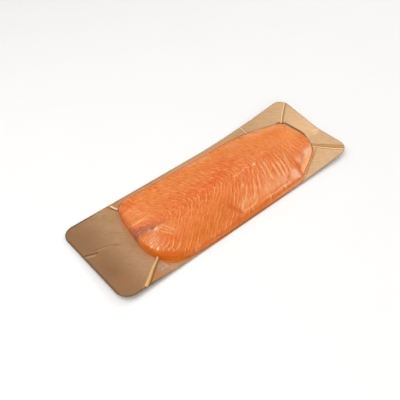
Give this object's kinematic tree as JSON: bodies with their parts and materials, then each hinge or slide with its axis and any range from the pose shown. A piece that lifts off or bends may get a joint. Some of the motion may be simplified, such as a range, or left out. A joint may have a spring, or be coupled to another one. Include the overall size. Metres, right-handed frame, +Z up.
{
  "type": "pack of smoked salmon",
  "caption": "Long side of smoked salmon lying on a gold card under clear film that is drawn tight over both.",
  "frame": {"origin": "centre of the pack's box, on the level it rests on", "axes": "+X along the card towards the narrow end of the salmon, +Y across it towards the salmon's back, +Z up"},
  "size_m": [0.4, 0.138, 0.0186],
  "materials": {
    "gold_foil_card": "satin gold foil over board, faintly creased",
    "smoked_salmon": "moist orange flesh with paler marbling, glossy under the film",
    "clear_film": "clear glossy plastic film"
  },
  "bodies": {
    "root": {"gold_card": "gold_foil_card", "salmon_side": "smoked_salmon", "clear_film": "clear_film"}
  },
  "joints": []
}
